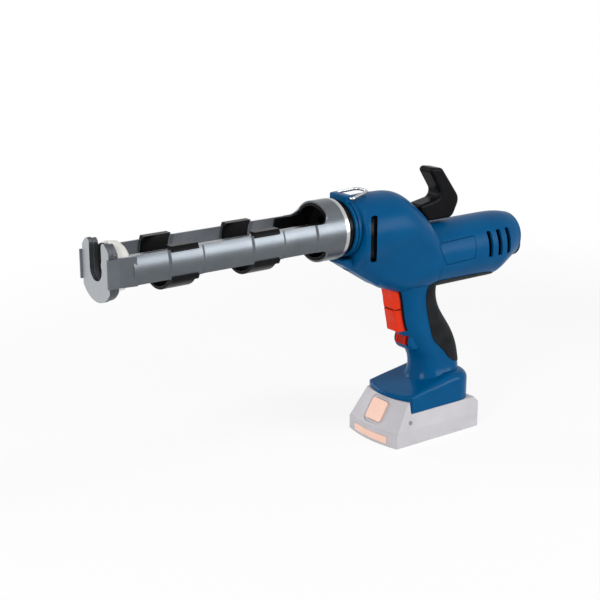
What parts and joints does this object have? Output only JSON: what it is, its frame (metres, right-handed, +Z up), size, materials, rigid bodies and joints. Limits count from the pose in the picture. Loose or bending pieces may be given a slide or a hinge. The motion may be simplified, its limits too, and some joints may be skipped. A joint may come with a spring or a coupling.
{
  "type": "cordless caulking tool",
  "caption": "Hand-held battery caulking tool: open two-rail cartridge cradle, geared push rod with piston and pull hook, pistol grip with trigger, slide-on battery.",
  "frame": {"origin": "centre of the battery's underside, on which the tool stands", "axes": "+X to the front, the way the piston pushes; +Y to the tool's left; +Z up"},
  "size_m": [0.5118, 0.078, 0.2815],
  "materials": {
    "housing_blue": "fine satin grain",
    "grip_rubber": "soft, matt",
    "cradle_metal": "satin",
    "black_plastic": "satin",
    "white_plastic": "smooth",
    "red_plastic": "smooth",
    "steel": "satin",
    "magnet": "matt",
    "gearbox_alloy": "as cast",
    "circuit_board": "lacquered",
    "contact_brass": "bright",
    "battery_grey": "satin",
    "battery_peach": "satin",
    "cell_wrap": "shrink wrap over metal",
    "plunger_white": "smooth"
  },
  "bodies": {
    "housing": {"left_shell": "housing_blue", "right_shell": "housing_blue", "left_grip": "grip_rubber", "right_grip": "grip_rubber", "front_spigot": "black_plastic", "front_bush": "black_plastic", "rear_bush": "black_plastic", "gearbox": "gearbox_alloy", "shaft_bearings": "steel", "motor_can": "steel", "motor_magnets": "magnet", "motor_bearings": "steel", "switch_module": "black_plastic", "dial_pot": "black_plastic", "hanger_lug": "housing_blue", "housing_screws": "steel", "control_board": "circuit_board", "terminal_block": "black_plastic", "terminal_blades": "contact_brass"},
    "cradle": {"cradle_tube": "cradle_metal", "collar_ring": "cradle_metal", "front_plate": "cradle_metal", "backing_plate": "cradle_metal", "front_saddle": "black_plastic", "rear_saddle": "black_plastic", "collar_liner": "black_plastic"},
    "push_rod": {"rack": "steel", "piston": "white_plastic", "piston_screw": "steel", "pull_hook": "black_plastic"},
    "pinion": {"pinion_shaft": "steel", "drive_gear": "steel"},
    "output": {"output_gear": "steel"},
    "motor_rotor": {"rotor": "steel", "motor_shaft": "steel", "cooling_fan": "black_plastic"},
    "trigger_unit": {"trigger": "red_plastic", "trigger_plunger": "plunger_white"},
    "lock": {"lock_button": "red_plastic"},
    "dial": {"speed_dial": "black_plastic"},
    "ring": {"hanging_ring": "steel"},
    "battery": {"battery_case": "battery_grey", "battery_cover": "battery_grey", "battery_bumper": "battery_peach", "battery_cells": "cell_wrap", "battery_contacts": "contact_brass"},
    "battery_release": {"battery_button": "battery_peach"}
  },
  "joints": [
    {"name": "rack_slide", "type": "slide", "parent": "housing", "child": "push_rod", "axis": [1, 0, 0], "range_m": [-0.225, 0]},
    {"name": "pinion_turn", "type": "hinge", "parent": "housing", "child": "pinion", "pos_m": [0.055, 0, 0.2182], "axis": [0, 1, 0], "range_deg": [-1230, 2]},
    {"name": "output_turn", "type": "hinge", "parent": "housing", "child": "output", "pos_m": [0.055, 0, 0.1872], "axis": [0, 1, 0], "range_deg": [-5, 3005]},
    {"name": "motor_spin", "type": "hinge", "parent": "housing", "child": "motor_rotor", "pos_m": [-0.069, 0, 0.1872], "axis": [1, 0, 0], "continuous": true},
    {"name": "cradle_turn", "type": "hinge", "parent": "housing", "child": "cradle", "pos_m": [0.116, 0, 0.234], "axis": [1, 0, 0], "continuous": true},
    {"name": "trigger_pull", "type": "slide", "parent": "housing", "child": "trigger_unit", "axis": [-1, 0, 0], "range_m": [0, 0.006], "stiffness_N_per_m": 1200, "springref_m": -0.004},
    {"name": "lock_slide", "type": "slide", "parent": "housing", "child": "lock", "axis": [0, 1, 0], "range_m": [-0.003, 0.003]},
    {"name": "dial_turn", "type": "hinge", "parent": "housing", "child": "dial", "pos_m": [-0.134, 0, 0.1842], "axis": [1, 0, 0], "range_deg": [-135, 135]},
    {"name": "ring_swing", "type": "hinge", "parent": "housing", "child": "ring", "pos_m": [0.0994, 0, 0.2645], "axis": [0, 1, 0], "range_deg": [0, 150]},
    {"name": "battery_slide", "type": "slide", "parent": "housing", "child": "battery", "axis": [1, 0, 0], "range_m": [0, 0.085]},
    {"name": "release_press", "type": "slide", "parent": "battery", "child": "battery_release", "axis": [-0.8496, 0, -0.5275], "range_m": [0, 0.0025], "stiffness_N_per_m": 1500, "springref_m": -0.002}
  ],
  "couplings": [
    {"joint": "pinion_turn", "follows": "rack_slide", "rad_per_m": 95.238},
    {"joint": "output_turn", "follows": "rack_slide", "rad_per_m": -232.8}
  ]
}
